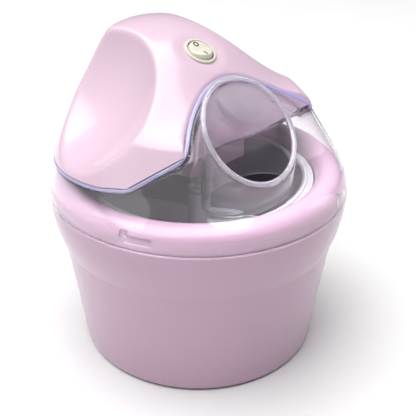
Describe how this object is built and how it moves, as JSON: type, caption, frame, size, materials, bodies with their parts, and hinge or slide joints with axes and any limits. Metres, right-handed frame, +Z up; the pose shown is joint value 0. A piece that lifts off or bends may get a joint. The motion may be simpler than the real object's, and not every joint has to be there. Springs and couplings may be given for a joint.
{
  "type": "ice cream maker",
  "caption": "Countertop ice cream maker: round bucket with a freezer bowl and paddle, clear locking lid with a slanted filling chute, and a motor head on top.",
  "frame": {"origin": "centre of the base, on the surface the feet stand on", "axes": "+Z up along the bowl's axis, -Y towards the filling chute, +X to the right seen from behind"},
  "size_m": [0.2146, 0.2146, 0.232],
  "materials": {
    "pink_plastic": "glossy moulded pale pink",
    "clear_plastic": "clear polished",
    "cream_plastic": "satin moulded cream",
    "grey_plastic": "satin moulded light grey",
    "bowl_metal": "dark anodised, satin",
    "frosted_plastic": "translucent moulded",
    "black_plastic": "matte",
    "nylon": "natural nylon",
    "steel": "plated",
    "bronze": "sintered",
    "copper_winding": "lacquered winding on a steel core",
    "ferrite": "sintered ferrite",
    "gel": "freezing gel",
    "rubber": "matte black rubber",
    "seal_rubber": "soft grey rubber"
  },
  "bodies": {
    "bucket": {"bucket": "pink_plastic", "rubber_feet": "rubber"},
    "collar": {"collar": "pink_plastic"},
    "bowl": {"bowl_jacket": "grey_plastic", "bowl_liner": "bowl_metal", "coolant_gel": "gel", "bowl_gasket": "seal_rubber"},
    "paddle": {"paddle": "frosted_plastic"},
    "lid": {"clear_lid": "clear_plastic"},
    "head": {"head_cover": "pink_plastic", "head_base": "pink_plastic", "cover_screws": "steel", "gearbox_case": "nylon", "case_screws": "steel", "gearbox_plate": "steel", "plate_screws": "steel", "idler_pins": "steel", "lower_bush": "bronze", "upper_bush": "bronze", "motor_can": "steel", "motor_magnets": "ferrite", "motor_end_cap": "black_plastic", "motor_screws": "steel", "switch_bezel": "cream_plastic", "switch_body": "black_plastic", "switch_terminals": "bronze", "cord_grommet": "grey_plastic"},
    "spindle": {"drive_spindle": "steel", "output_gear": "nylon"},
    "second_idler": {"second_idler": "nylon"},
    "first_idler": {"first_idler": "nylon"},
    "rotor": {"motor_shaft": "steel", "motor_armature": "copper_winding", "motor_pinion": "bronze"},
    "rocker": {"switch_rocker": "cream_plastic"}
  },
  "joints": [
    {"name": "collar_turn", "type": "hinge", "parent": "bucket", "child": "collar", "pos_m": [0, 0, 0.121], "axis": [0, 0, 1], "range_deg": [-9, 0]},
    {"name": "bowl_lift", "type": "slide", "parent": "bucket", "child": "bowl", "axis": [0, 0, 1], "range_m": [0, 0.13]},
    {"name": "paddle_spin", "type": "hinge", "parent": "bowl", "child": "paddle", "pos_m": [0, 0, 0.06], "axis": [0, 0, 1], "continuous": true},
    {"name": "lid_lift", "type": "slide", "parent": "bowl", "child": "lid", "axis": [0, 0, 1], "range_m": [0, 0.12]},
    {"name": "head_lift", "type": "slide", "parent": "lid", "child": "head", "axis": [0, 0, 1], "range_m": [0, 0.1]},
    {"name": "spindle_spin", "type": "hinge", "parent": "head", "child": "spindle", "pos_m": [0, 0, 0.15], "axis": [0, 0, 1], "continuous": true},
    {"name": "second_idler_spin", "type": "hinge", "parent": "head", "child": "second_idler", "pos_m": [-0.01103, 0.0191, 0.17], "axis": [0, 0, 1], "continuous": true},
    {"name": "first_idler_spin", "type": "hinge", "parent": "head", "child": "first_idler", "pos_m": [0.01128, 0.03923, 0.18], "axis": [0, 0, 1], "continuous": true},
    {"name": "rotor_spin", "type": "hinge", "parent": "head", "child": "rotor", "pos_m": [0, 0.066, 0.17], "axis": [0, 0, 1], "continuous": true},
    {"name": "rocker_tip", "type": "hinge", "parent": "head", "child": "rocker", "pos_m": [0, -0.00048, 0.21566], "axis": [1, 0, 0], "range_deg": [0, 16]}
  ],
  "couplings": [
    {"joint": "spindle_spin", "follows": "paddle_spin", "ratio": 1},
    {"joint": "second_idler_spin", "follows": "paddle_spin", "ratio": -2.6667},
    {"joint": "first_idler_spin", "follows": "paddle_spin", "ratio": 10.667},
    {"joint": "rotor_spin", "follows": "paddle_spin", "ratio": -51.2}
  ]
}
